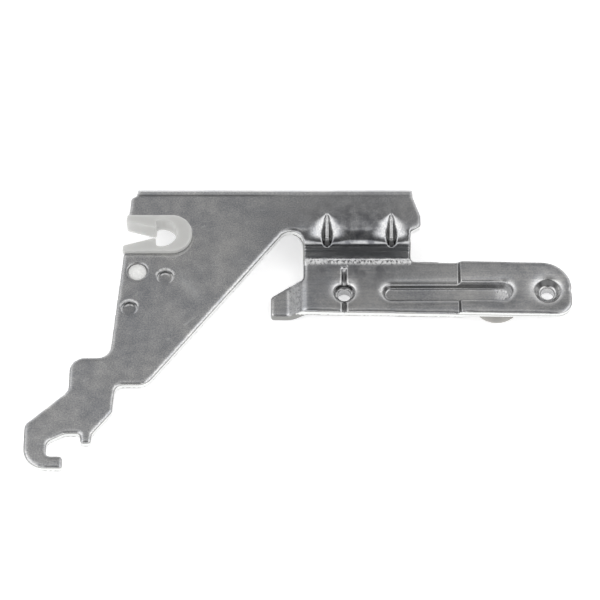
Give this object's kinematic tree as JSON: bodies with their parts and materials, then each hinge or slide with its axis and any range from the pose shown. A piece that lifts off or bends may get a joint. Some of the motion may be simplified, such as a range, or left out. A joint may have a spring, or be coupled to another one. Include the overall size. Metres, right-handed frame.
{
  "type": "dishwasher door hinge arm",
  "caption": "Pressed steel door hinge arm with a folded top flange, a hooked lower end, a joggled screw-on arm and a snap-in moulded pivot bush.",
  "frame": {"origin": "middle of the pivot seat, on the front face of the plate", "axes": "+Z out of the front face along the pivot, +X along the arm, +Y towards the folded flange"},
  "size_m": [0.1633, 0.0969, 0.016],
  "materials": {
    "zinc_steel": "zinc-plated pressed sheet, satin with fine rolling grain",
    "white_plastic": "white moulded acetal, satin",
    "stud_steel": "zinc-plated turned steel"
  },
  "bodies": {
    "root": {"hinge_plate": "zinc_steel", "pivot_bush": "white_plastic", "locating_stud": "stud_steel"}
  },
  "joints": []
}
